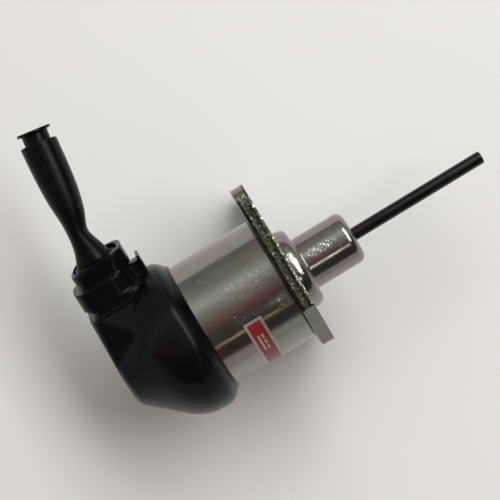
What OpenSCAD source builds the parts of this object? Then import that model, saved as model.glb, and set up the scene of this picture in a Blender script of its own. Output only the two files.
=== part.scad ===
// Fuel shutoff solenoid, millimetres. The origin is on the plunger axis at the flange's mounting face,
// +X runs out along the push rod, +Y to the connector side and +Z to the label side.

/* [Can] */
// Outside diameter of the drawn steel can
can_d = 40; // [36:0.5:44]
// Length of the can behind the flange
can_len = 40; // [39:0.5:46]
// Wall of the can
can_wall = 2; // [1.4:0.1:2.4]
// Lip rolled in over the rear plate
lip_t = 1; // [0.6:0.1:1.4]

/* [Flange] */
// Thickness of the blanked flange plate
flange_t = 4; // [3:0.5:6]
// Distance between the two bolt holes
bolt_span = 56; // [54:0.5:60]
// Distance from a bolt hole's middle to the plate's end
bolt_edge = 8; // [6:0.5:10]
// Height of the plate's connector-side edge above the axis
flange_top = 29.5; // [28:0.5:33]
// Depth of the plate's other edge below the axis
flange_bottom = 22.4; // [21.4:0.2:25]
// Corner radius on the connector side
top_round = 7; // [4:0.2:9]
// Corner cut on the other side
bottom_cut = 12; // [8:0.5:14]
// Corner radius of the plate's outline
flange_corner = 1.2; // [0.6:0.1:2]
// Diameter of the bolt holes
bolt_hole_d = 6.6; // [5.4:0.1:7.4]

/* [Nose] */
// Diameter of the locating collar in front of the flange
collar_d = 25.7; // [22:0.1:28]
// Height of the locating collar in front of the plate
collar_len = 4; // [3.4:0.1:5]
// Edge radius of the locating collar
collar_edge = 2; // [1:0.1:2.4]
// Depth that the collar's base is let into the plate
collar_seat = 1.5; // [1:0.1:2]
// Width of the base's rim round the collar
collar_lap = 0.4; // [0.3:0.05:0.8]
// Diameter of the nose tube
nose_d = 16.6; // [16:0.1:18]
// Length of the nose from the mounting face
nose_len = 21; // [19:0.5:26]
// Corner radius at the front of the nose
nose_corner = 2.3; // [1:0.1:2.8]
// Thickness of the nose's front wall
nose_wall = 4; // [3:0.2:5]
// Diameter of the spigot that is staked into the flange plate
spigot_d = 19; // [18:0.2:21]

/* [Plunger] */
// Diameter of the push rod
rod_d = 4; // [3:0.1:5]
// Length of rod that stands out of the nose
rod_reach = 45; // [38:1:55]
// Chamfer at the rod's tip
rod_tip = 0.5; // [0.2:0.1:0.9]
// Diameter of the armature
armature_d = 13.6; // [13:0.1:13.8]
// Length of the armature
armature_len = 24; // [20:0.5:26]
// Travel of the plunger
stroke = 12; // [9:0.5:13]
// Thickness of the rubber ring that stops the armature
bumper_t = 1.1; // [0.8:0.1:2]

/* [Spring] */
// Wire diameter of the return spring
wire_d = 0.8; // [0.6:0.1:1]
// Outside diameter of the return spring
spring_d = 7.6; // [7:0.1:8]
// Turns of the return spring
spring_turns = 8; // [6:1:9]
// Depth of the spring's pocket in the armature
armature_pocket = 6; // [4:0.5:8]
// Depth of the spring's pocket in the fixed pole
pole_pocket = 10; // [8:0.5:12]

/* [Coil] */
// Wall of the brass guide tube
guide_wall = 0.4; // [0.3:0.05:0.5]
// Wall of the bobbin's hub
hub_wall = 1.2; // [0.8:0.1:1.6]
// Thickness of the bobbin's end flanges
bobbin_flange = 1.5; // [1:0.1:2]
// Thickness of the tape round the winding
tape_t = 0.35; // [0.2:0.05:0.6]
// Thickness of the rear plate that closes the can
rear_plate_t = 3; // [2:0.2:4]
// Diameter of the pole's staked end
pole_stake_d = 10; // [8:0.5:12]

/* [Cap] */
// Greatest thickness of the moulded rear cap over the can
cap_wall = 4.2; // [3.6:0.1:5]
// Depth of the cap behind the can
cap_back = 15.6; // [14.5:0.2:18]
// Length of the skirt over the can
cap_skirt = 12.7; // [11:0.1:15]
// Diameter of the flat disc at the cap's rear
cap_rear_d = 17; // [12:0.5:20]
// Slope of the cap's rear bevel from the axis
cap_bevel = 42; // [38:1:46]
// Cross section of the sealing ring under the skirt
seal_d = 1.4; // [1:0.1:1.6]

/* [Connector] */
// Angle of the connector about the axis, towards the label side
clock = 15; // [0:1:30]
// Distance of the connector's rim from the axis
rim_r = 35.4; // [34.5:0.2:38]
// Distance from the axis to the ledge below the collar
ledge_r = 29.4; // [28:0.2:30]
// Width of the connector collar along the axis
mouth_w = 17.7; // [17:0.1:20]
// Depth of the connector collar across the axis
mouth_d = 15; // [14.6:0.1:17]
// Wall of the connector collar
mouth_wall = 1.4; // [1:0.1:1.6]
// Height of the collar's rear bevel
rim_bevel = 1.7; // [0.8:0.1:2.4]
// Width of the collar's rear bevel
rim_inset = 2.5; // [1:0.1:3]
// Depth of the socket
socket_depth = 10; // [9:0.5:12]
// Width of a terminal blade
blade_w = 6.3; // [5:0.1:6.8]
// Thickness of a terminal blade
blade_t = 0.8; // [0.6:0.1:1]
// Distance between the two blades
blade_pitch = 6.8; // [6:0.1:7.2]
// Diameter of an insulated lead
lead_d = 1.8; // [1.4:0.1:2.2]
// Thickness of the latch plate beside the collar
latch_t = 1; // [0.7:0.05:1.2]
// Width of the latch plate
latch_w = 7; // [5:0.2:9]
// Gap between the collar and the latch plate
latch_gap = 1.9; // [1.4:0.1:2.6]
// Height of the latch plate above the ledge
latch_up = 0.4; // [0:0.1:2]

/* [Dust plug] */
// Height of the plug above the connector's rim
plug_height = 41.2; // [36:0.2:50]
// Lean of the plug towards the rod
plug_lean = 6.4; // [0:0.2:12]
// Lean of the plug's end towards the rod
tip_lean = 8.8; // [0:0.2:12]
// Lean of the plug's upper part towards the label side
plug_nod = 4.8; // [0:0.2:10]
// Diameter of the plug's tube at its shoulder
plug_d = 11.4; // [9.5:0.1:13]
// Width of the pinched waist
waist_w = 6.2; // [5:0.1:8]
// Depth of the pinched waist, across its width
waist_d = 8.6; // [6:0.1:9.4]
// Height of the waist above the connector's rim
waist_h = 8.3; // [7:0.1:12]
// Bow of the waist away from the rod
waist_bow = 0.7; // [0:0.1:1.2]
// Diameter of the end disc
disc_d = 10.4; // [9:0.1:12]
// Thickness of the end disc
disc_t = 0.9; // [0.6:0.1:1.2]
// Diameter of the neck below the end disc
neck_d = 8; // [6:0.1:9]
// Height of the neck
neck_len = 3.3; // [2:0.1:5]

/* [Label] */
// Width of the label along the can
label_w = 6; // [5:0.2:8]
// Distance of the label's front edge behind the flange
label_back = 11; // [8:0.5:14]
// Angle of the label's upper end below the label side
label_from = 16.8; // [10:0.2:25]
// Arc length of the label round the can
label_len = 21.4; // [16:0.2:26]
// Thickness of the foil label
label_t = 0.15; // [0.1:0.05:0.3]

/* [Hidden] */
$fn = 64;

zinc = [0.62, 0.60, 0.55];
steel = [0.55, 0.56, 0.58];
black = [0.07, 0.07, 0.075];
copper = [0.72, 0.40, 0.20];
brass = [0.78, 0.62, 0.28];
nylon = [0.85, 0.83, 0.76];

// Clearance of pieces that seat in one another, on the radius
seat = 0.05;
// Running clearance of the plunger, on the radius
run = 0.05;
// End clearance of the plunger in its stops
end_play = 0.3;
// Small overlap that joins or cuts cleanly
eps = 0.01;
cut = 1;

can_r = can_d / 2;
can_bore = can_r - can_wall;
x_rear = -(flange_t + can_len);
x_plate = x_rear + lip_t;
x_coil = x_plate + rear_plate_t;

// The plunger rests against the nose's front wall
x_stop = nose_len - nose_wall;
clip_t = 0.8;
clip_r = rod_d / 2 + 1.4;
x_arm_front = x_stop - clip_t - end_play / 2;
x_arm_rear = x_arm_front - armature_len;
x_bumper = x_arm_rear - stroke - end_play;
x_pole = x_bumper - bumper_t;
arm_r = armature_d / 2;
guide_r = arm_r + run;
guide_or = guide_r + guide_wall;
pole_r = guide_or + 0.25;
pole_shank = 4.6;
x_shoulder = x_pole - pole_shank;
spring_r = spring_d / 2;
pocket_r = spring_r + 0.4;
x_spring_rear = x_pole - pole_pocket;
x_spring_front = x_arm_rear + armature_pocket;

hub_bore = pole_r + 2 * seat;
hub_r = hub_bore + hub_wall;
bobbin_r = can_bore - 0.6;
tape_r = bobbin_r - 0.8;
wind_r = tape_r - tape_t;

cap_r = can_r + cap_wall;
x_cap = x_rear - cap_back;
x_skirt = x_rear + cap_skirt;
cap_bore = can_r + 2 * seat;
seal_r = cap_bore - seat + seal_d / 2 - 0.02;
x_seal = x_skirt - cap_skirt / 3;
x_mouth = x_rear - 4.3;
ledge_lap = 2;
ledge_side = 1.2;
ledge_slope = 1.6;
tower_side = 3;
mouth_round = mouth_d / 2 - 0.6;
ledge_low_r = ledge_r - 6;
tower_r = ledge_r - 9;
latch_rib = latch_w - 2;
latch_step = 0.9;
rib_root = ledge_lap + mouth_wall;
lead_r = can_bore - 5;
foot_r = lead_r - 3;
blade_end = rim_r - 3;

flange_mid = (flange_top - flange_bottom) / 2;
flange_half = bolt_span / 2 + bolt_edge;

function arc(c, r, a0, a1, n) =
    [for (i = [0:n]) let (a = a0 + (a1 - a0) * i / n) c + r * [cos(a), sin(a)]];
function bend(p, q, r, n) =
    [for (i = [0:n]) let (t = i / n) (1 - t) * (1 - t) * p + 2 * t * (1 - t) * q + t * t * r];
// Outline with every corner rounded to the same radius, by the tangent points of its sides
function unit(v) = v / norm(v);
function rounded(pts, r) = [for (i = [0:len(pts) - 1])
    let (p = pts[i], a = unit(pts[(i + len(pts) - 1) % len(pts)] - p),
        b = unit(pts[(i + 1) % len(pts)] - p), t = r / tan(acos(a * b) / 2))
    each bend(p + a * t, p, p + b * t, ceil(2 + r))];
function slab(w, h) = [[-w / 2, -h / 2], [w / 2, -h / 2], [w / 2, h / 2], [-w / 2, h / 2]];

// A revolved piece about the X axis, from points of radius and X
module turned(outline) rotate([0, 90, 0]) rotate_extrude() polygon(outline);
module ring_x(x0, x1, r0, r1) turned([[r0, x0], [r1, x0], [r1, x1], [r0, x1]]);
module rod_x(x0, x1, r) translate([x0, 0, 0]) rotate([0, 90, 0]) cylinder(h = x1 - x0, r = r);
// A drawing of Y across and Z up, raised along X
module raised_x(x0, t) translate([x0, 0, 0]) rotate([90, 0, 90]) linear_extrude(t) children();
// A drawing of X across and Z up, raised away from the axis
module raised_r(r0, r1) translate([0, r0, 0]) rotate([-90, 0, 0]) linear_extrude(r1 - r0) children();
module clocked() rotate([clock, 0, 0]) children();

// A closed skin over rings with the same number of points
module skin(rings) {
    n = len(rings[0]);
    m = len(rings);
    sides = [for (i = [0:m - 2], j = [0:n - 1])
        [i * n + j, i * n + (j + 1) % n, (i + 1) * n + (j + 1) % n, (i + 1) * n + j]];
    polyhedron(points = [for (r = rings) each r],
        faces = concat([[for (j = [n - 1:-1:0]) j]], sides, [[for (j = [0:n - 1]) (m - 1) * n + j]]),
        convexity = 6);
}

module housing_can() color(zinc) turned([
    [can_bore, -flange_t], [can_r, -flange_t], each arc([can_r - lip_t, x_rear + lip_t], lip_t, 0, -90, 5),
    [can_bore - 2, x_rear], [can_bore - 2, x_plate], [can_bore, x_plate]]);

// The plate's outline: an upper half with round corners, and a lower half with cut corners
module flange_outline() {
    upper = rounded([[flange_top, -flange_half], [flange_top, flange_half],
        [0, flange_half], [0, -flange_half]], top_round);
    polygon([for (p = upper) if (p[0] >= flange_top - top_round - eps) p]);
    polygon(rounded([[flange_top - top_round + flange_corner, flange_half],
        [-flange_bottom + bottom_cut, flange_half], [-flange_bottom, flange_half - bottom_cut],
        [-flange_bottom, -flange_half + bottom_cut], [-flange_bottom + bottom_cut, -flange_half],
        [flange_top - top_round + flange_corner, -flange_half]], flange_corner));
}

module flange_plate() color(zinc) difference() {
    raised_x(-flange_t, flange_t) flange_outline();
    rod_x(-flange_t - cut, cut, spigot_d / 2 + seat);
    rod_x(-collar_seat, cut, collar_d / 2 + collar_lap + seat);
    for (side = [-1, 1])
        translate([0, flange_mid, side * bolt_span / 2]) rod_x(-flange_t - cut, cut, bolt_hole_d / 2);
}

nose_bore = guide_or + seat;
bush_r = rod_d / 2 + 2;
wiper_r = bush_r + 0.6;
wiper_t = 1.4;
module nose_tube() color(zinc) turned([
    [nose_bore, -flange_t], [spigot_d / 2, -flange_t], [spigot_d / 2, -collar_seat],
    [collar_d / 2 + collar_lap, -collar_seat], [collar_d / 2 + collar_lap, 0], [collar_d / 2, 0],
    each arc([collar_d / 2 - collar_edge, collar_len - collar_edge], collar_edge, 0, 90, 5),
    [nose_d / 2, collar_len],
    each arc([nose_d / 2 - nose_corner, nose_len - nose_corner], nose_corner, 0, 90, 8),
    [wiper_r + seat, nose_len], [wiper_r + seat, nose_len - wiper_t], [bush_r + seat, nose_len - wiper_t],
    [bush_r + seat, x_stop], [nose_bore, x_stop]]);
module nose_bushing() color(brass)
    ring_x(x_stop, nose_len - wiper_t, rod_d / 2 + run, bush_r);
module rod_wiper() color(black) turned([
    [rod_d / 2 + run, nose_len - wiper_t], [wiper_r, nose_len - wiper_t], [wiper_r, nose_len - 0.3],
    [rod_d / 2 + 0.7, nose_len - 0.3], [rod_d / 2 + run, nose_len]]);

module guide_tube() color(brass) ring_x(x_shoulder, x_stop, guide_r, guide_or);
module bobbin() color(nylon) turned([
    [hub_bore, x_coil], [bobbin_r, x_coil], [bobbin_r, x_coil + bobbin_flange],
    [hub_r, x_coil + bobbin_flange], [hub_r, -flange_t - bobbin_flange],
    [bobbin_r, -flange_t - bobbin_flange], [bobbin_r, -flange_t], [hub_bore, -flange_t]]);
module coil_winding() color(copper)
    ring_x(x_coil + bobbin_flange, -flange_t - bobbin_flange, hub_r + seat, wind_r);
module coil_tape() color(black)
    ring_x(x_coil + bobbin_flange, -flange_t - bobbin_flange, wind_r + seat, tape_r);

module lead_pair(r) clocked() for (side = [-1, 1])
    translate([0, lead_r, side * blade_pitch / 2]) rod_x(x_cap, x_coil + cut, r);
module rear_plate() color(steel) difference() {
    ring_x(x_plate, x_coil, pole_stake_d / 2 + seat, can_bore - seat);
    lead_pair(lead_d / 2 + 0.4);
}
module rear_pole() color(steel) turned([
    [0, x_plate], [pole_stake_d / 2, x_plate], [pole_stake_d / 2, x_coil], [pole_r, x_coil],
    [pole_r, x_shoulder], [arm_r, x_shoulder], [arm_r, x_pole], [pocket_r, x_pole],
    [pocket_r, x_spring_rear], [0, x_spring_rear]]);
module bumper_ring() color(black) ring_x(x_pole, x_bumper, pocket_r, arm_r);
module armature() color(steel) turned([
    [rod_d / 2 + seat, x_arm_front], [arm_r - 0.6, x_arm_front], [arm_r, x_arm_front - 0.6],
    [arm_r, x_arm_rear + 0.6], [arm_r - 0.6, x_arm_rear], [pocket_r, x_arm_rear],
    [pocket_r, x_spring_front], [rod_d / 2 + seat, x_spring_front]]);
module push_rod() color(black) turned([
    [0, x_spring_front], [rod_d / 2, x_spring_front], [rod_d / 2, nose_len + rod_reach - rod_tip],
    [rod_d / 2 - rod_tip, nose_len + rod_reach], [0, nose_len + rod_reach]]);
module rod_clip() color(steel) ring_x(x_arm_front, x_arm_front + clip_t, rod_d / 2 + seat, clip_r);

// Ground coil: the end turns lie closer than the working turns
coil_steps = 14;
coil_sides = 6;
function coil_x(t) = let (w = wire_d / 2, span = x_spring_front - x_spring_rear - wire_d)
    x_spring_rear + w + span * (t - 0.06 * sin(360 * t));
module return_spring() color(steel) skin([for (i = [0:spring_turns * coil_steps])
    let (t = i / (spring_turns * coil_steps), a = 360 * t * spring_turns, c = spring_r - wire_d / 2)
    [for (j = [0:coil_sides - 1]) let (b = -360 * j / coil_sides, r = c + wire_d / 2 * cos(b))
        [coil_x(t) + wire_d / 2 * sin(b), r * cos(a), r * sin(a)]]]);

// The cap's section: rear disc, bevel, full shoulder, and a lip drawn in to the can
bevel_r = cap_r - 5;
bevel_start = cap_rear_d / 2 + 4;
bevel_run = (bevel_r - bevel_start) / tan(cap_bevel);
x_bevel = x_cap + 2.4;
cap_outline = [
    [0, x_cap], each bend([cap_rear_d / 2, x_cap], [cap_rear_d / 2 + 2.4, x_cap], [bevel_start, x_bevel], 4),
    each bend([bevel_r, x_bevel + bevel_run], [cap_r, x_bevel + bevel_run + 5.2], [cap_r, x_skirt - 7.2], 7),
    each bend([cap_r, x_skirt - 5.6], [cap_r, x_skirt - 3], [can_r + 1.4, x_skirt - 1], 6),
    [can_r + 0.7, x_skirt], [0, x_skirt]];

module block_outline(w, d, r) translate([x_mouth, 0]) polygon(rounded(slab(w, d), r));
module connector_tower() {
    hull() {
        turned([[0, x_cap], [cap_rear_d / 2 + 1, x_cap], [cap_r - 3, x_rear + 2], [0, x_rear + 2]]);
        raised_r(tower_r - 1, tower_r)
            block_outline(mouth_w + 2 * ledge_lap, mouth_d + 2 * tower_side, 2 * tower_side);
    }
    raised_r(tower_r - 2, ledge_low_r)
        block_outline(mouth_w + ledge_side, mouth_d + 2 * ledge_side, mouth_round);
    hull() {
        raised_r(ledge_low_r - ledge_slope, ledge_low_r - ledge_slope + 0.1)
            block_outline(mouth_w, mouth_d + ledge_side, mouth_round);
        translate([-ledge_lap, 0, 0]) raised_r(ledge_low_r, ledge_r)
            block_outline(mouth_w, mouth_d + 2 * ledge_side, mouth_round);
    }
    hull() {
        raised_r(ledge_r - eps, rim_r - rim_bevel) block_outline(mouth_w, mouth_d, mouth_round);
        translate([rim_inset / 2, 0, 0]) raised_r(rim_r - rim_bevel, rim_r)
            block_outline(mouth_w - rim_inset, mouth_d, mouth_round - rim_inset / 2);
    }
    translate([x_mouth + mouth_w / 2 + latch_gap, can_r, -latch_w / 2])
        cube([latch_t, ledge_r + latch_up - can_r, latch_w]);
    translate([x_mouth + mouth_w / 2 - rib_root, can_r, -latch_rib / 2])
        cube([rib_root + latch_gap + eps, ledge_r - latch_step - can_r, latch_rib]);
}
module blade_slots(gap) for (side = [-1, 1]) translate([x_mouth - blade_w / 2 - gap,
    foot_r - gap, side * blade_pitch / 2 - blade_t / 2 - gap])
    cube([blade_w + 2 * gap, rim_r - foot_r, blade_t + 2 * gap]);
module rear_cap() color(black) difference() {
    union() {
        turned(cap_outline);
        clocked() connector_tower();
    }
    rod_x(x_rear, x_skirt + cut, cap_bore);
    rotate([0, 90, 0]) rotate_extrude() translate([seal_r, x_seal]) circle(d = seal_d + 2 * seat, $fn = 24);
    clocked() raised_r(rim_r - socket_depth, rim_r + cut)
        block_outline(mouth_w - 2 * mouth_wall, mouth_d - 2 * mouth_wall, mouth_round - mouth_wall);
    clocked() blade_slots(seat);
    clocked() for (side = [-1, 1]) translate([0, lead_r, side * blade_pitch / 2])
        rod_x(x_mouth + blade_w / 2 - seat, x_rear + cut, lead_d / 2 + seat);
}
module cap_seal() color(black)
    rotate([0, 90, 0]) rotate_extrude() translate([seal_r, x_seal]) circle(d = seal_d, $fn = 24);

module terminal_blade(side) color(brass) clocked() difference() {
    translate([x_mouth - blade_w / 2, foot_r, side * blade_pitch / 2 - blade_t / 2])
        cube([blade_w, blade_end - foot_r, blade_t]);
    for (edge = [-1, 1]) translate([x_mouth + edge * blade_w / 2, blade_end, side * blade_pitch / 2])
        rotate([0, 0, 45]) cube([1.4, 1.4, 2 * blade_t], center = true);
}
module lead_wire(side) color("firebrick") clocked()
    translate([0, lead_r, side * blade_pitch / 2]) rod_x(x_mouth + blade_w / 2, x_coil, lead_d / 2);

// Dust plug: a skirt in the socket, a pinched waist, and a tube that swells to its shoulder
base_y = rim_r * cos(clock);
base_z = rim_r * sin(clock);
shoulder_h = plug_height - neck_len - disc_t;
skirt_play = 0.4;
skirt_w = mouth_w - 2 * mouth_wall - 2 * skirt_play;
skirt_d = mouth_d - 2 * mouth_wall - 2 * skirt_play;
skirt_drop = 1;
plug_foot = -1.5;
foot_ease = 0.8;
plug_set = 0.4;
swell_run = 9.2;
bow_run = 3.5;
waist_rise = 0.7;
plug_sides = 24;
plug_rings = 22;
// Share of the way from the waist down to the foot, and from the waist up to the full tube
function flare(h) = pow(max(0, waist_h - h) / (waist_h - plug_foot), 1.45);
function swell(h) = 1 - exp(-pow(max(0, h - waist_h) / swell_run, 1.4));
function plug_size(h, foot, waist) = (waist + (foot - waist) * flare(h) + (plug_d - waist) * swell(h)) / 2;
function plug_mid(h) = [
    x_mouth - plug_set + h * tan(plug_lean) - waist_bow * exp(-pow((h - waist_h) / bow_run, 2)),
    base_y + h,
    base_z + min(h, waist_h) * tan(clock) * waist_rise + max(0, h - waist_h) * tan(plug_nod)];
function plug_ring(h) = let (w = plug_size(h, skirt_w - 2 * foot_ease, waist_w),
        d = plug_size(h, skirt_d - 2 * foot_ease, waist_d), lean = tip_lean * max(0, h) / shoulder_h)
    [for (j = [0:plug_sides - 1]) let (a = 360 * j / plug_sides, across = w * cos(a))
        plug_mid(h) + [across * cos(lean), -across * sin(lean), d * sin(a)]];
module at_plug_end() translate(plug_mid(shoulder_h)) rotate([plug_nod, 0, -tip_lean]) rotate([-90, 0, 0])
    children();
module dust_plug() color(black) difference() {
    union() {
        skin([for (i = [0:plug_rings]) plug_ring(plug_foot + (shoulder_h - plug_foot) * i / plug_rings)]);
        clocked() raised_r(rim_r - socket_depth + skirt_play, rim_r - skirt_drop)
            block_outline(skirt_w, skirt_d, mouth_round - mouth_wall - skirt_play);
        at_plug_end() {
            translate([0, 0, -1]) cylinder(h = neck_len + 1 + eps, d = neck_d, $fn = 48);
            translate([0, 0, neck_len]) cylinder(h = disc_t, d = disc_d, $fn = 48);
        }
    }
    clocked() raised_r(rim_r - socket_depth, blade_end + skirt_play)
        block_outline(blade_w + 1, blade_pitch + blade_t + 1, 0.8);
}

module rating_label() color([0.72, 0.16, 0.14]) rotate([0, 90, 0]) rotate([0, 0, 180 + label_from])
    rotate_extrude(angle = label_len / can_r * 180 / PI)
    translate([can_r + 0.02, -flange_t - label_back - label_w]) square([label_t, label_w]);

housing_can();
flange_plate();
nose_tube();
nose_bushing();
rod_wiper();
guide_tube();
bobbin();
coil_winding();
coil_tape();
rear_plate();
rear_pole();
bumper_ring();
armature();
push_rod();
rod_clip();
return_spring();
rear_cap();
cap_seal();
terminal_blade(-1);  // terminal_blade_1
terminal_blade(1);  // terminal_blade_2
lead_wire(-1);  // lead_wire_1
lead_wire(1);  // lead_wire_2
dust_plug();
rating_label();
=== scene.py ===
# %% [markdown]
# A fuel shutoff solenoid: a plated steel can with a bolt flange and a nose, a black push rod, and a moulded
# black cap whose side connector is closed by a soft dust plug. The CAD model gives every piece its place and
# size, in metres, with the plunger's axis on X. This lesson dresses it: it keeps the turned steel pieces and
# gives them a finish, and remakes the moulded and soft pieces, whose faces on the CAD model are coarse.

# %% Load the frame
import math

import bmesh
import bpy
from mathutils import Matrix, Vector


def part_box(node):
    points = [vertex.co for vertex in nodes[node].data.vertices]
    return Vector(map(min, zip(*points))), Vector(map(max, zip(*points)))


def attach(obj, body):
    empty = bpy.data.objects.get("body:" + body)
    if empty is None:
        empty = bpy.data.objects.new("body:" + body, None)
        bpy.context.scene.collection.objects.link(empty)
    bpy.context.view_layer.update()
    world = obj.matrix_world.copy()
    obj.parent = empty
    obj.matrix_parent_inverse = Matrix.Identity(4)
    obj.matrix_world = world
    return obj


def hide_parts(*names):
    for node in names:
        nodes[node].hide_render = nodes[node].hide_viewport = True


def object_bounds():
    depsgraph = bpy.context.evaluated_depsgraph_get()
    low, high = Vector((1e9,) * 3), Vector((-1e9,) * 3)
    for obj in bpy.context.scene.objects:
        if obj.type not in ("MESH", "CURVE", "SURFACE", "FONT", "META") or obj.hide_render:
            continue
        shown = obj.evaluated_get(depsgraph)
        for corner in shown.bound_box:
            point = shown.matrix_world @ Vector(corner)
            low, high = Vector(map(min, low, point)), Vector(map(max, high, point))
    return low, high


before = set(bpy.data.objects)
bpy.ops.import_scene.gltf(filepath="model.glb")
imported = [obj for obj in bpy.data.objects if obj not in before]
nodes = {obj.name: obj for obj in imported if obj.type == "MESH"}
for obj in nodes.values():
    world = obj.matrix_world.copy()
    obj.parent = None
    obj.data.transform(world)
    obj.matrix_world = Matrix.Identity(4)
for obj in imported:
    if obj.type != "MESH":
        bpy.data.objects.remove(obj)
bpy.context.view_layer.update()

MM = 0.001
print("nodes:", len(nodes))

# %% [markdown]
# The photograph looks straight down on the solenoid's side, with the rod rising to the right. The camera stands
# on the +Z side and is rolled about its own line of sight. Its distance and field of view are worked out from
# the can, whose 40 mm are 133.6 of the picture's 500 pixels.

# %% Camera
ROD_RISE_DEG = 31.3
PIXELS_PER_MM = 3.34
PICTURE_MM = 500 / PIXELS_PER_MM
CAMERA_MM = 700
VIEW_CENTRE_MM = (-7.7, 12.1)

camera = bpy.data.objects.new("camera", bpy.data.cameras.new("camera"))
bpy.context.scene.collection.objects.link(camera)
camera.data.angle = 2 * math.atan(PICTURE_MM / 2 / CAMERA_MM)
camera.location = (VIEW_CENTRE_MM[0] * MM, VIEW_CENTRE_MM[1] * MM, CAMERA_MM * MM)
camera.rotation_euler = (0, 0, -math.radians(ROD_RISE_DEG))
camera.data.clip_end = 20
bpy.context.scene.camera = camera
bpy.context.scene.view_settings.view_transform = "Standard"

# %% [markdown]
# A finish is a tree of shader nodes. Written node by node it is hard to read, so a small class wraps a socket and
# lets Python's operators add the Math nodes. Another class holds a material and makes any other node.


# %% Shader maths
class Value:
    """A socket that carries a number; operators on it add Math nodes."""

    def __init__(self, finish, socket):
        self.finish = finish
        self.socket = socket

    def __add__(self, other):
        return self.finish.math("ADD", self, other)

    def __sub__(self, other):
        return self.finish.math("SUBTRACT", self, other)

    def __rsub__(self, other):
        return self.finish.math("SUBTRACT", other, self)

    def __mul__(self, other):
        return self.finish.math("MULTIPLY", self, other)

    def __truediv__(self, other):
        return self.finish.math("DIVIDE", self, other)

    def __gt__(self, other):
        return self.finish.math("GREATER_THAN", self, other)

    def __lt__(self, other):
        return self.finish.math("LESS_THAN", self, other)

    __radd__ = __add__
    __rmul__ = __mul__

    def within(self, low, high, soft=0.0):
        """1 between low and high, 0 outside, with an edge of the given softness."""
        if not soft:
            return (self > low) * (self < high)
        return self.ramp(low - soft, low + soft) * self.ramp(high + soft, high - soft)

    def ramp(self, start, end, low=0.0, high=1.0):
        """low at start and high at end, held outside."""
        return self.finish.node("ShaderNodeMapRange", {}, {0: self, 1: start, 2: end, 3: low, 4: high})


class Finish:
    """A material on the Principled shader, and the nodes that feed it."""

    def __init__(self, name, **constants):
        self.material = bpy.data.materials.new(name)
        self.material.use_nodes = True
        self.tree = self.material.node_tree
        self.shader = self.tree.nodes["Principled BSDF"]
        for socket, value in constants.items():
            self.shader.inputs[socket.replace("_", " ").title().replace("Ior", "IOR")].default_value = value
        place = self.tree.nodes.new("ShaderNodeTexCoord").outputs["Object"]
        self.mm = self.node("ShaderNodeVectorMath", {"operation": "SCALE"}, {0: place, "Scale": 1 / MM})

    def node(self, kind, settings, values, output=0):
        made = self.tree.nodes.new(kind)
        for key, value in settings.items():
            if key == "stops":
                ramp = made.color_ramp
                while len(ramp.elements) < len(value):
                    ramp.elements.new(0.5)
                for element, (position, colour) in zip(ramp.elements, value):
                    element.position = position
                    element.color = (*colour, 1)
            else:
                setattr(made, key, value)
        for key, value in values.items():
            value = getattr(value, "socket", value)
            if isinstance(value, bpy.types.NodeSocket):
                self.tree.links.new(value, made.inputs[key])
            elif made.inputs[key].type == "RGBA" and len(value) == 3:
                made.inputs[key].default_value = (*value, 1)
            else:
                made.inputs[key].default_value = value
        return Value(self, made.outputs[output])

    def math(self, operation, *values):
        return self.node("ShaderNodeMath", {"operation": operation}, dict(enumerate(values)))

    def axes(self):
        split = self.node("ShaderNodeSeparateXYZ", {}, {0: self.mm})
        return [Value(self, out) for out in split.socket.node.outputs]

    def stretched(self, scale):
        return self.node("ShaderNodeMapping", {}, {"Vector": self.mm, "Scale": scale})

    def noise(self, per_mm, detail=3.0, roughness=0.5, along=None):
        return self.node("ShaderNodeTexNoise", {}, {"Vector": along or self.mm, "Scale": per_mm,
            "Detail": detail, "Roughness": roughness})

    def mix(self, factor, first, second, how="MIX"):
        return self.node("ShaderNodeMix", {"data_type": "RGBA", "blend_type": how},
            {"Factor": factor, 6: first, 7: second}, output=2)

    def bump(self, height, depth_mm, under=None):
        values = {"Height": height, "Distance": depth_mm * MM}
        if under:
            values["Normal"] = under
        return self.node("ShaderNodeBump", {}, values)

    def feed(self, **links):
        for socket, value in links.items():
            self.tree.links.new(value.socket, self.shader.inputs[socket.replace("_", " ").title()])
        return self.material


def wear(node_name, material):
    """Puts a material on every slot of a CAD node's object."""
    mesh = nodes[node_name].data
    mesh.materials.clear()
    mesh.materials.append(material)


# %% [markdown]
# The steel is zinc plated and chromated. On the real one the film is thin enough to tint the metal in faint
# clouds of green, straw and pink. Under it lie shallow pits and a fine grain. Slow noises give the clouds, a
# quick one the pits, and the roughness follows the grain so that the light breaks up as it does on plating.
# Where tools and other parts have touched it, short strokes of fresh zinc sparkle, and their lighter colour is
# also a painted glint. The plate's edge was sheared by a die: on its flat ends it is torn and dark, with a few
# crystals whose light colour is a painted glint, and a painted shadow along the rear strip where it meets the
# can. The same finish takes a function that adds such a place's own look, from masks on the piece's place.

# %% Zinc plating
ZINC = (0.31, 0.305, 0.285)
ZINC_GREEN = (0.285, 0.297, 0.262)
ZINC_PINK = (0.325, 0.27, 0.275)
ZINC_STRAW = (0.36, 0.315, 0.22)
ZINC_DULL = (0.19, 0.185, 0.165)
ZINC_PIT = (0.07, 0.065, 0.055)
ZINC_FRESH_AND_GLINT = (0.62, 0.63, 0.62)
TORN_DARK_AND_SHADOW = (0.018, 0.019, 0.013)
TORN_OLIVE = (0.062, 0.065, 0.048)
TORN_PAINTED_GLINT = (0.55, 0.54, 0.46)


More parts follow.
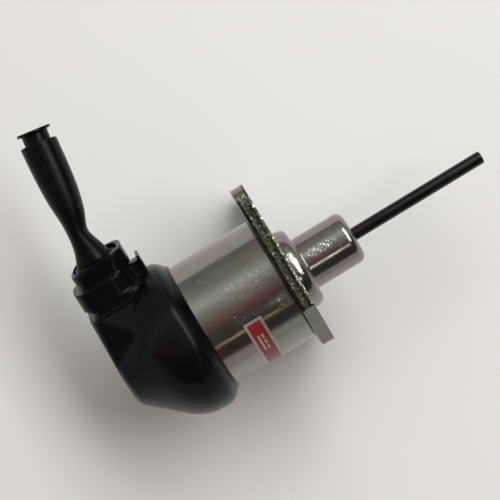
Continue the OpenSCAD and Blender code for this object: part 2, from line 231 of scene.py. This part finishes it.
def zinc_plate(name, place_look=None):
    zinc = Finish(name, metallic=1.0)
    cloud = zinc.noise(0.055, 3, 0.5, zinc.stretched((0.8, 1.0, 1.3)))
    drift = zinc.noise(0.085, 3, 0.55, zinc.stretched((0.6, 1.8, 1.0)))
    straw = zinc.noise(0.3, 3, 0.6, zinc.stretched((0.5, 1.4, 1.4)))
    tint = zinc.mix(cloud.ramp(0.42, 0.58), ZINC_GREEN, ZINC)
    tint = zinc.mix(drift.ramp(0.48, 0.62), tint, ZINC_PINK)
    tint = zinc.mix(straw.ramp(0.56, 0.72) * 0.6, tint, ZINC_STRAW)
    grain = zinc.noise(3.2, 4, 0.65)
    patch = zinc.noise(0.1, 3, 0.6).ramp(0.46, 0.60)
    pit = 1 - (1 - zinc.noise(1.5, 2, 0.5).ramp(0.27, 0.33)) * patch
    dull = grain.ramp(0.58, 0.38) * (0.2 + patch * 0.5)
    tint = zinc.mix(dull, tint, ZINC_DULL)
    tint = zinc.mix((1 - pit) * 0.5, tint, ZINC_PIT)
    rough = grain.ramp(0.35, 0.65, 0.09, 0.17) + patch * 0.05 + (1 - pit) * 0.15
    bumps = zinc.bump(pit, 0.03, zinc.bump(grain, 0.006))
    if place_look:
        tint, rough, bumps = place_look(zinc, tint, rough, bumps)
    return zinc.feed(base_color=tint, roughness=rough, normal=bumps)


plate_low, plate_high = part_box("flange_plate")
PLATE_T = (plate_high.x - plate_low.x) / MM


def torn_rim(zinc, tint, rough, bumps):
    """Sheared rim: torn and dark on the flat ends with painted glints and shadow, elsewhere torn at the front."""
    facing = zinc.node("ShaderNodeSeparateXYZ", {},
        {0: zinc.tree.nodes.new("ShaderNodeNewGeometry").outputs["True Normal"]})
    sideways = zinc.math("ABSOLUTE", facing).ramp(0.5, 0.25)
    flat_end = zinc.math("ABSOLUTE", Value(zinc, facing.socket.node.outputs["Z"])).ramp(0.90, 0.98)
    wander = zinc.noise(0.5, 2) * 0.16 - 0.08
    along = zinc.axes()[0] / PLATE_T + 1 + wander
    corner = (1 - flat_end) * (zinc.axes()[1] > 10) * along.ramp(0.80, 0.86)
    rim = sideways * (flat_end * along.ramp(0.14, 0.22) + corner)
    groove = along.within(0.60, 0.78, 0.05)
    crystal = zinc.noise(1.25, 2, 0.5, zinc.stretched((0.8, 1.0, 1.0)))
    # Painted glint: the light colour of a few crystals, which also keep a lower roughness than the rest of the
    # rim.
    crystal_and_painted_glint = crystal.ramp(0.63, 0.68) * (1 - groove * 0.8)
    torn = zinc.mix(groove, TORN_OLIVE, TORN_DARK_AND_SHADOW)
    torn = zinc.mix(zinc.noise(0.8, 3, 0.6).ramp(0.5, 0.35) * 0.7, torn, TORN_DARK_AND_SHADOW)
    torn = zinc.mix(crystal_and_painted_glint, torn, TORN_PAINTED_GLINT)
    # Painted shadow: the rear strip of the flat ends is darkened where the plate stands against the can.
    at_end = zinc.math("ABSOLUTE", zinc.axes()[2]) > plate_high.z / MM - 0.6
    painted_shadow = at_end * along.ramp(0.26, 0.16)
    tint = zinc.mix(rim, tint, torn)
    tint = zinc.mix(painted_shadow * 0.95, tint, TORN_DARK_AND_SHADOW)
    rough = rough + rim * (1 - crystal_and_painted_glint) * 0.22
    return tint, rough, zinc.bump(crystal * rim, 0.14, bumps)


def marks_and_glints(*spots):
    """Fresh marks with painted glints at spots, each a centre, a reach in mm and a strength: strokes that sparkle.
    """
    def look(zinc, tint, rough, bumps):
        strokes = zinc.noise(1.0, 2, 0.5, zinc.stretched((2.4, 0.5, 0.5)))
        loose = zinc.noise(0.9, 2, 0.5).ramp(0.40, 0.52)
        reach = 0
        for centre, size, strength in spots:
            away = zinc.node("ShaderNodeVectorMath", {"operation": "SUBTRACT"}, {0: zinc.mm, 1: centre})
            away = zinc.node("ShaderNodeVectorMath", {"operation": "DIVIDE"}, {0: away, 1: size})
            away = zinc.node("ShaderNodeVectorMath", {"operation": "LENGTH"}, {0: away}, output="Value")
            reach = reach + away.ramp(1.0, 0.6) * strength
        mark_and_glint = reach * loose
        # Painted glint: the strokes' lighter colour is fresh zinc, and it also stands for the light that glints on
        # them.
        tint = zinc.mix(mark_and_glint * strokes.ramp(0.52, 0.6) * 0.8, tint, ZINC_FRESH_AND_GLINT)
        return tint, rough, zinc.bump(strokes * mark_and_glint, 0.09, bumps)
    return look


# The spots lie where the light glints: on the can near the plate and along it, and on the nose and its collar.
zinc_can = zinc_plate("zinc_can", marks_and_glints(
    ((-6.5, -4.6, 19.4), (3.2, 2.2, 2), 0.9), ((-15, 3.4, 19.7), (12, 4.5, 3), 0.35)))
zinc_nose = zinc_plate("zinc_nose", marks_and_glints(
    ((10, 1.9, 8), (6.5, 2.2, 3), 0.7), ((1.6, 3, 12), (1.6, 7, 4), 0.6)))
zinc_blanked = zinc_plate("zinc_blanked", torn_rim)

# %% [markdown]
# The rod is steel with a glossy black film. It needs little: a very dark colour, a low roughness with faint
# draw marks along it, and a slight wavering of its surface that bends the long streak of light.

# %% Black rod
rod = Finish("gloss_black_rod", specular_ior_level=0.35)
draw = rod.noise(1.2, 3, 0.5, rod.stretched((0.08, 2.0, 2.0)))
rod_black = rod.feed(base_color=rod.mix(draw.ramp(0.4, 0.7), (0.0015, 0.0015, 0.002), (0.006, 0.0055, 0.006)),
    roughness=draw.ramp(0.3, 0.7, 0.13, 0.24), normal=rod.bump(draw, 0.012))

# %% Moulded black nylon and soft vinyl


def black_moulding(name, low, high, gloss, skin_depth, skin_per_mm):
    plastic = Finish(name, specular_ior_level=0.14)
    cloud = plastic.noise(0.09, 4, 0.6)
    skin = plastic.noise(skin_per_mm, 3, 0.55)
    scuff = plastic.noise(1.4, 5, 0.7, plastic.stretched((0.5, 1.2, 1))).ramp(0.62, 0.78)
    tone = plastic.mix(cloud.ramp(0.35, 0.65), low, high)
    tone = plastic.mix(scuff * 0.3, tone, (0.012, 0.011, 0.012))
    rough = cloud.ramp(0.3, 0.7, gloss - 0.07, gloss + 0.08) + scuff * 0.12
    return plastic.feed(base_color=tone, roughness=rough, normal=plastic.bump(skin, skin_depth))


cap_black = black_moulding("cap_black", (0.0028, 0.0024, 0.0036), (0.0055, 0.0045, 0.006), 0.18, 0.016, 1.1)
plug_black = black_moulding("plug_black", (0.0024, 0.0022, 0.0022), (0.0042, 0.0038, 0.0036), 0.29, 0.02, 1.6)

# %% Hidden pieces
for name, colour, metal, gloss in (
        ("bare_steel", (0.46, 0.46, 0.47), 1.0, 0.32), ("brass", (0.72, 0.52, 0.24), 1.0, 0.28),
        ("tinned", (0.70, 0.68, 0.64), 1.0, 0.25), ("nylon", (0.78, 0.75, 0.66), 0.0, 0.45),
        ("copper", (0.60, 0.26, 0.12), 1.0, 0.3), ("tape", (0.03, 0.03, 0.03), 0.0, 0.4),
        ("lead", (0.42, 0.03, 0.03), 0.0, 0.45), ("rubber", (0.015, 0.015, 0.015), 0.0, 0.6)):
    plain = Finish(name, metallic=metal)
    grain = plain.noise(2.5, 3, 0.6)
    plain.feed(base_color=plain.mix(grain.ramp(0.3, 0.7), tuple(0.85 * c for c in colour), colour),
        roughness=grain.ramp(0.3, 0.7, gloss - 0.06, gloss + 0.08), normal=plain.bump(grain, 0.01))
for material, names in {
        "bare_steel": ("armature", "rear_plate", "rear_pole", "return_spring", "rod_clip"),
        "brass": ("nose_bushing", "guide_tube"), "tinned": ("terminal_blade_1", "terminal_blade_2"),
        "nylon": ("bobbin",), "copper": ("coil_winding",), "tape": ("coil_tape",),
        "lead": ("lead_wire_1", "lead_wire_2"), "rubber": ("rod_wiper", "bumper_ring", "cap_seal")}.items():
    for name in names:
        wear(name, bpy.data.materials[material])

# %% [markdown]
# The label is a thin foil, with a silver border round a red field. The print on it is a plain symbol for direct
# current, a bar over three dashes, in light ink. The masks come from the angle round the can and the place
# along it, so the print follows the curve.

# %% Label
label_low, label_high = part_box("rating_label")
CAN_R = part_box("housing_can")[1].y / MM
label_middle = (label_low.x + label_high.x) / 2 / MM
label_start = math.degrees(math.atan2(-label_high.y, label_high.z)) * math.radians(1) * CAN_R
label_end = math.degrees(math.atan2(-label_low.y, label_low.z)) * math.radians(1) * CAN_R
LABEL_BORDER = 0.8
foil = Finish("label_foil", coat_weight=0.3, coat_roughness=0.15)
foil_x, foil_y, foil_z = foil.axes()
across = foil_x - label_middle
down = foil.math("ARCTAN2", 0 - foil_y, foil_z) * CAN_R - label_start
label_length = label_end - label_start
half_field = (label_high.x - label_low.x) / 2 / MM - LABEL_BORDER
field = across.within(-half_field, half_field, 0.08) * down.within(
    LABEL_BORDER, label_length - LABEL_BORDER, 0.08)
bar = across.within(-1.1, -0.55, 0.06) * down.within(5.2, 11.6, 0.06)
dashes = across.within(0.2, 0.75, 0.06) * (
    down.within(5.2, 6.9, 0.06) + down.within(7.55, 9.25, 0.06) + down.within(9.9, 11.6, 0.06))
print_mask = (bar + dashes).ramp(0, 1)
worn = foil.noise(2.4, 4, 0.65)
red = foil.mix(worn.ramp(0.35, 0.65), (0.19, 0.006, 0.012), (0.29, 0.016, 0.022))
silver = foil.mix(worn, (0.30, 0.28, 0.28), (0.44, 0.41, 0.41))
face = foil.mix(print_mask * worn.ramp(0.3, 0.45), red, (0.50, 0.42, 0.40))
label_print = foil.feed(base_color=foil.mix(field, silver, face), metallic=(1 - field) * 0.3,
    roughness=field.ramp(0, 1, 0.32, 0.42), normal=foil.bump(worn, 0.012))
wear("rating_label", label_print)

# %% [markdown]
# The can, the nose and the rod are turned or drawn, so each is an outline spun round the X axis. The CAD solids
# have the same outlines but are cut into facets, which a glossy metal would show. Here an outline is a closed
# loop of points of radius and X, its round corners are arcs, and 192 steps make the spin smooth. Smooth shading
# bends the light over the whole of a face, so a long straight run gets an extra ring close to each of its ends,
# which keeps its highlights straight.

# %% Turned pieces


def arc(r_mid, x_mid, radius, start_deg, end_deg, steps=6):
    """Points of a round corner, as radius and X."""
    turn_ = [math.radians(start_deg + (end_deg - start_deg) * i / steps) for i in range(steps + 1)]
    return [(r_mid + radius * math.cos(t), x_mid + radius * math.sin(t)) for t in turn_]


def held(outline, margin=0.08):
    """The outline with extra points just inside both ends of its long runs."""
    points = []
    for (r0, x0), (r1, x1) in zip(outline, outline[1:] + outline[:1]):
        points.append((r0, x0))
        run = math.hypot(r1 - r0, x1 - x0)
        if run > 10 * margin and r0 + r1 > 0:
            for share in (margin / run, 1 - margin / run):
                points.append((r0 + (r1 - r0) * share, x0 + (x1 - x0) * share))
    return points


def finished(thing, sharp_deg=38):
    """Smooth shading with sharp edges where faces meet at more than an angle, and faces that point outwards."""
    shell = bmesh.new()
    shell.from_mesh(thing.data)
    bmesh.ops.recalc_face_normals(shell, faces=shell.faces)
    shell.to_mesh(thing.data)
    shell.free()
    thing.data.shade_smooth()
    thing.data.set_sharp_from_angle(angle=math.radians(sharp_deg))
    return thing


def turned(name, outline, steps=192):
    """A closed mesh from an outline spun round X; a point of radius 0 is one vertex on the axis."""
    verts, rings, faces = [], [], []
    for r, x in held(outline):
        count = steps if r > 0 else 1
        rings.append(range(len(verts), len(verts) + count))
        for i in range(count):
            a = 2 * math.pi * i / steps
            verts.append((x * MM, r * math.cos(a) * MM, r * math.sin(a) * MM))
    for here, there in zip(rings, rings[1:] + rings[:1]):
        if len(here) == 1 and len(there) == 1:
            continue
        for i in range(steps):
            j = (i + 1) % steps
            corner = [here[i % len(here)], here[j % len(here)], there[j % len(there)], there[i % len(there)]]
            faces.append(list(dict.fromkeys(corner)))
    mesh = bpy.data.meshes.new(name)
    mesh.from_pydata(verts, [], faces)
    made = bpy.data.objects.new(name, mesh)
    bpy.context.scene.collection.objects.link(made)
    return finished(made)


can_low, can_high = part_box("housing_can")
CAN_WALL, CAN_LIP, CAN_EDGE, CAN_SHADOW_GAP = 2.0, 1.0, 0.35, 0.12
can_r, can_back, can_front = can_high.y / MM, can_low.x / MM, can_high.x / MM - CAN_SHADOW_GAP
can = turned("can_drawn", [
    (can_r - CAN_WALL, can_front), *arc(can_r - CAN_EDGE, can_front - CAN_EDGE, CAN_EDGE, 90, 0, 4),
    *arc(can_r - CAN_LIP, can_back + CAN_LIP, CAN_LIP, 0, -90), (can_r - CAN_WALL - 2, can_back),
    (can_r - CAN_WALL - 2, can_back + CAN_LIP), (can_r - CAN_WALL, can_back + CAN_LIP)])

nose_low, nose_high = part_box("nose_tube")
PLATE_SEAT, SEAT_LAP, COLLAR_H, COLLAR_ROUND, NOSE_ROUND, NOSE_WALL = 1.5, 0.4, 4.0, 2.0, 2.3, 4.0
SPIGOT_R, NOSE_R, NOSE_BORE, BUSH_R, WIPER_R, WIPER_T = 9.5, 8.3, 7.3, 4.05, 4.65, 1.4
seat_r, nose_end = nose_high.y / MM, nose_high.x / MM
collar_r = seat_r - SEAT_LAP
NOSE_FILLET, RIM_EASE, COLLAR_DRAW = 0.5, 0.25, 1.7
nose = turned("nose_turned", [
    (NOSE_BORE, nose_low.x / MM), (SPIGOT_R, nose_low.x / MM), (SPIGOT_R, -PLATE_SEAT), (seat_r, -PLATE_SEAT),
    *arc(seat_r - RIM_EASE, -RIM_EASE, RIM_EASE, 0, 90, 3), (collar_r, 0),
    *[(r, COLLAR_H + (x - COLLAR_H) * COLLAR_DRAW) for r, x in
        arc(collar_r - COLLAR_ROUND, COLLAR_H - COLLAR_ROUND, COLLAR_ROUND, 0, 90, 16)],
    *arc(NOSE_R + NOSE_FILLET, COLLAR_H + NOSE_FILLET, NOSE_FILLET, -90, -180, 5),
    *arc(NOSE_R - NOSE_ROUND, nose_end - NOSE_ROUND, NOSE_ROUND, 0, 90, 10),
    *arc(WIPER_R + RIM_EASE, nose_end - RIM_EASE, RIM_EASE, 90, 180, 3), (WIPER_R, nose_end - WIPER_T),
    (BUSH_R, nose_end - WIPER_T), (BUSH_R, nose_end - NOSE_WALL), (NOSE_BORE, nose_end - NOSE_WALL)])

rod_low, rod_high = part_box("push_rod")
rod_r, TIP = rod_high.z / MM, 0.5
push_rod = turned("push_rod_black", [
    (0, rod_low.x / MM), (rod_r, rod_low.x / MM), *arc(rod_r - TIP, rod_high.x / MM - TIP, TIP, 0, 90, 6),
    (0, rod_high.x / MM)], 96)

# %% [markdown]
# The cap is one moulding. Its CAD solid has every form but is cut into flat facets, with knife-sharp edges.
# A voxel remesh turns a copy into an even skin of small faces, and a few rounds of smoothing give it the
# soft edges and blended corners that a mould gives.

# %% Moulded cap


def solid_copy(node_name, name):
    """A merged copy of a CAD node, as a new object at the origin."""
    mesh = nodes[node_name].data.copy()
    mesh.materials.clear()
    shell = bmesh.new()
    shell.from_mesh(mesh)
    bmesh.ops.remove_doubles(shell, verts=shell.verts, dist=2e-6)
    shell.to_mesh(mesh)
    shell.free()
    made = bpy.data.objects.new(name, mesh)
    bpy.context.scene.collection.objects.link(made)
    return made


def baked(thing):
    """The object with its modifiers turned into a plain mesh."""
    result = bpy.data.meshes.new_from_object(thing.evaluated_get(bpy.context.evaluated_depsgraph_get()))
    thing.modifiers.clear()
    thing.data = result
    return thing


def dress(thing, material, body, slot, *replaced):
    thing.data.materials.clear()
    thing.data.materials.append(material)
    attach(thing, body)
    if replaced:
        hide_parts(*replaced)
    print(thing.name, "faces:", len(thing.data.polygons))
    return thing


dress(can, zinc_can, "solenoid", "zinc_plate", "housing_can")
dress(nose, zinc_nose, "solenoid", "zinc_plate", "nose_tube")
dress(push_rod, rod_black, "plunger", "black_rod", "push_rod")

def moulded(node_name, name, voxel_mm, rounds, thinned=1.0):
    """A copy of a CAD node with an even skin, softened edges and, if asked, fewer faces where it is plain."""
    made = solid_copy(node_name, name)
    skin = made.modifiers.new("skin", "REMESH")
    skin.mode = "VOXEL"
    skin.voxel_size = voxel_mm * MM
    soften = made.modifiers.new("soften", "SMOOTH")
    soften.factor = 0.5
    soften.iterations = rounds
    if thinned < 1:
        thin = made.modifiers.new("thin", "DECIMATE")
        thin.ratio = thinned
    return finished(baked(made), 60)


cap = moulded("rear_cap", "cap_moulding", 0.26, 4, thinned=0.4)
dress(cap, cap_black, "solenoid", "black_cap", "rear_cap")

# %% [markdown]
# Fine rings run round the cap's front shoulder, left by the tool that turned the mould. They split the light on
# the shoulder into short parallel streaks. Geometry Nodes repeat them: a curve follows the shoulder's section, its
# points give each ring its place and radius, and a round wire is swept along each ring, half sunk in the skin.

# %% Rings on the shoulder


def ring_tree(name):
    """Rings round X whose places and radii follow a bend through three points of X and radius."""
    tree = bpy.data.node_groups.new(name, "GeometryNodeTree")
    tree.is_modifier = True
    for socket, kind in (("Start", "NodeSocketVector"), ("Middle", "NodeSocketVector"),
            ("End", "NodeSocketVector"), ("Rings", "NodeSocketInt"), ("Wire Radius", "NodeSocketFloat"),
            ("Steps", "NodeSocketInt"), ("Material", "NodeSocketMaterial")):
        tree.interface.new_socket(socket, in_out="INPUT", socket_type=kind)
    tree.interface.new_socket("Geometry", in_out="OUTPUT", socket_type="NodeSocketGeometry")

    def node(kind, settings=(), **links):
        made = tree.nodes.new(kind)
        for key, value in dict(settings).items():
            setattr(made, key, value)
        for key, value in links.items():
            socket = made.inputs[key.replace("_", " ")]
            if isinstance(value, bpy.types.NodeSocket):
                tree.links.new(value, socket)
            else:
                socket.default_value = value
        return made

    given = node("NodeGroupInput").outputs
    section = node("GeometryNodeCurveQuadraticBezier", Resolution=64, Start=given["Start"],
        Middle=given["Middle"], End=given["End"])
    points = node("GeometryNodeCurveToPoints", {"mode": "COUNT"}, Curve=section.outputs[0], Count=given["Rings"])
    place = node("ShaderNodeSeparateXYZ", Vector=node("GeometryNodeInputPosition").outputs[0]).outputs
    size = node("GeometryNodeCaptureAttribute", Geometry=points.outputs["Points"])
    size.capture_items.new("FLOAT", "Radius")
    tree.links.new(place["Y"], size.inputs["Radius"])
    on_axis = node("GeometryNodeSetPosition", Geometry=size.outputs["Geometry"],
        Position=node("ShaderNodeCombineXYZ", X=place["X"]).outputs[0])
    circle = node("GeometryNodeCurvePrimitiveCircle", Resolution=given["Steps"], Radius=1.0)
    upright = node("GeometryNodeTransform", Geometry=circle.outputs[0], Rotation=(0, math.pi / 2, 0))
    rings = node("GeometryNodeInstanceOnPoints", Points=on_axis.outputs[0], Instance=upright.outputs[0],
        Scale=size.outputs["Radius"])
    paths = node("GeometryNodeRealizeInstances", Geometry=rings.outputs[0])
    wire = node("GeometryNodeCurvePrimitiveCircle", Resolution=8, Radius=given["Wire Radius"])
    swept = node("GeometryNodeCurveToMesh", Curve=paths.outputs[0], Profile_Curve=wire.outputs[0])
    whole = node("GeometryNodeRealizeInstances", Geometry=swept.outputs[0])
    set_material = node("GeometryNodeSetMaterial", Geometry=whole.outputs[0], Material=given["Material"])
    out = node("NodeGroupOutput")
    tree.links.new(set_material.outputs[0], out.inputs["Geometry"])
    return tree


def grown(name, tree, **sizes):
    """An object made by a tree, baked to a plain mesh."""
    made = bpy.data.objects.new(name, bpy.data.meshes.new(name))
    bpy.context.scene.collection.objects.link(made)
    growth = made.modifiers.new("growth", "NODES")
    growth.node_group = tree
    for item in tree.interface.items_tree:
        if item.in_out == "INPUT":
            growth[item.identifier] = sizes[item.name.lower().replace(" ", "_")]
    return finished(baked(made), 60)


cap_low, cap_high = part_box("rear_cap")
CAP_WALL, RING_SINK = 4.2, 0.08
SHOULDER = ((-7.1, 0), (-4.9, 0.12), (-3.1, -0.7))
bend = [((cap_high.x / MM + x) * MM, (can_r + CAP_WALL + r - RING_SINK) * MM, 0) for x, r in SHOULDER]
rings = grown("cap_rings", ring_tree("shoulder_rings"), start=bend[0], middle=bend[1], end=bend[2],
    rings=8, wire_radius=0.18 * MM, steps=192, material=cap_black)
print("rings reach X", [round(v / MM, 2) for v in (bend[0][0], bend[2][0])])
dress(rings, cap_black, "solenoid", "black_cap")

# %% [markdown]
# The plate was blanked from sheet by a die. On its flat ends the metal broke away and is torn. An even remesh
# gives the rim enough points to move: those on the ends are pushed in by a noise that is the same at each run,
# so that the light on them breaks up.

# %% Flange plate
from mathutils import noise

PLATE_VOXEL, TORN_FROM, TORN_DEPTH, TORN_PER_MM = 0.32, 0.15, 0.10, 0.9
plate = solid_copy("flange_plate", "plate_blanked")
skin = plate.modifiers.new("skin", "REMESH")
skin.mode = "VOXEL"
skin.voxel_size = PLATE_VOXEL * MM
baked(plate)
torn_count = 0
for vertex in plate.data.vertices:
    share = (vertex.co.x - plate_low.x) / (plate_high.x - plate_low.x)
    on_end = abs(vertex.normal.z) > 0.9 and abs(vertex.co.z) > 20 * MM
    if on_end and share > TORN_FROM:
        place = vertex.co / MM * TORN_PER_MM
        depth = TORN_DEPTH * (0.5 + noise.fractal(place, 1.0, 2.0, 3)) * min(1, (share - TORN_FROM) * 5)
        vertex.co -= vertex.normal * max(0, depth) * MM
        torn_count += 1
soften = plate.modifiers.new("soften", "SMOOTH")
soften.factor = 0.4
soften.iterations = 2
baked(plate)
finished(plate, 60)
print("torn points:", torn_count)
dress(plate, zinc_blanked, "solenoid", "zinc_plate", "flange_plate")

# %% [markdown]
# The dust plug is a soft tube that is pinched to a waist and widens again to a shoulder, with a neck and a thin
# end disc. Its solid is lofted from rings that leave flat bands. The same remesh melts them into one soft skin,
# and a finer one here keeps the thin disc.

# %% Dust plug
plug = moulded("dust_plug", "dust_plug_soft", 0.22, 3)
dress(plug, plug_black, "solenoid", "black_vinyl", "dust_plug")

# %% [markdown]
# The studio is a pale floor and a low pale wall all round it. The light comes from a dim world that is banded
# in strips along the can, as a room's lamp, ceiling and shade are, and from soft lamps.
# The wall keeps the horizon pale in the side views.

# %% Floor and wall
FLOOR_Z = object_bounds()[0][2] - 0.3 * MM
WALL_R = 1.6
WALL_H = 0.42


def stage_mesh(name, verts, faces):
    mesh = bpy.data.meshes.new(name)
    mesh.from_pydata(verts, [], faces)
    made = bpy.data.objects.new(name, mesh)
    bpy.context.scene.collection.objects.link(made)
    mesh.materials.append(bpy.data.materials["stage_pale"])
    return made


pale = Finish("stage_pale", base_color=(0.90, 0.90, 0.90, 1), roughness=0.9)
SIDES = 96
rim = [(WALL_R * math.cos(2 * math.pi * i / SIDES), WALL_R * math.sin(2 * math.pi * i / SIDES))
    for i in range(SIDES)]
stage_mesh("floor", [(x, y, FLOOR_Z) for x, y in rim], [list(range(SIDES))])
stage_mesh("wall", [(x, y, FLOOR_Z) for x, y in rim] + [(x, y, FLOOR_Z + WALL_H) for x, y in rim],
    [[i, SIDES + i, SIDES + (i + 1) % SIDES, (i + 1) % SIDES] for i in range(SIDES)])

# %% Lights


def soft_lamp(name, direction, distance, size, size_y, power, colour=(1, 1, 1), long_axis=(1, 0, 0)):
    """An area lamp that faces the solenoid, with its longer side along long_axis."""
    lamp = bpy.data.objects.new(name, bpy.data.lights.new(name, "AREA"))
    lamp.data.shape = "RECTANGLE"
    lamp.data.size, lamp.data.size_y = size, size_y
    lamp.data.energy = power
    lamp.data.color = colour
    back = Vector(direction).normalized()
    side = (Vector(long_axis) - back * Vector(long_axis).dot(back)).normalized()
    lamp.matrix_world = Matrix((side, back.cross(side), back)).transposed().to_4x4()
    lamp.location = back * distance
    bpy.context.scene.collection.objects.link(lamp)


def slim_lamp(name, span_mm, angle_deg, distance, width, radiance, colour=(1.0, 0.80, 0.52)):
    """A slim lamp along X, turned from +Z towards -Y by an angle, that a round metal shows as a thin line."""
    a = math.radians(angle_deg)
    length = (span_mm[1] - span_mm[0]) * MM
    soft_lamp(name, (0, -math.sin(a), math.cos(a)), distance, length, width,
        radiance * math.pi * length * width, colour)
    bpy.data.objects[name].location.x = (span_mm[0] + span_mm[1]) / 2 * MM


soft_lamp("key_rod_side", (0.45, 0.25, 0.86), 0.9, 1.0, 0.38, 6.0, long_axis=(0, 1, 0))
slim_lamp("glint_on_can", (-52, -6), 42, 0.25, 0.005, 2.8)
slim_lamp("glint_on_nose", (2, 26), 26, 0.25, 0.034, 2.6, (1.0, 0.99, 0.94))

world = bpy.data.worlds.new("studio")
bpy.context.scene.world = world
world.use_nodes = True
BANDS = [
    (-180, (0.45, 0.45, 0.45)), (-95, (0.36, 0.37, 0.33)), (-68, (0.38, 0.39, 0.34)), (-52, (0.48, 0.49, 0.45)),
    (-42, (0.72, 0.73, 0.69)), (-35, (0.88, 0.90, 0.84)), (-29, (0.80, 0.81, 0.77)), (-22, (0.56, 0.56, 0.53)),
    (-12, (0.40, 0.39, 0.36)), (-4, (0.34, 0.30, 0.27)), (3, (0.34, 0.19, 0.18)), (9, (0.26, 0.14, 0.13)),
    (17, (0.14, 0.10, 0.09)), (26, (0.09, 0.075, 0.065)), (40, (0.07, 0.06, 0.05)), (52, (0.07, 0.055, 0.05)),
    (66, (0.07, 0.06, 0.055)), (70, (0.10, 0.09, 0.09)), (74, (0.45, 0.45, 0.43)), (180, (0.50, 0.50, 0.49))]


class Sky(Finish):
    """The world's own nodes, made with the same method as a material's."""

    def __init__(self, tree):
        self.tree = tree


sky = Sky(world.node_tree)
heading = sky.node("ShaderNodeSeparateXYZ", {}, {0: sky.tree.nodes.new("ShaderNodeTexCoord").outputs["Generated"]})
along_y, along_z = (Value(sky, heading.socket.node.outputs[i]) for i in (1, 2))
turn = sky.math("ARCTAN2", 0 - along_y, along_z) / (2 * math.pi) + 0.5
bands = sky.node("ShaderNodeValToRGB",
    {"stops": [((a + 180) / 360, colour) for a, colour in BANDS]}, {0: turn})
background = sky.tree.nodes["Background"]
sky.tree.links.new(bands.socket, background.inputs["Color"])
background.inputs["Strength"].default_value = 1.0
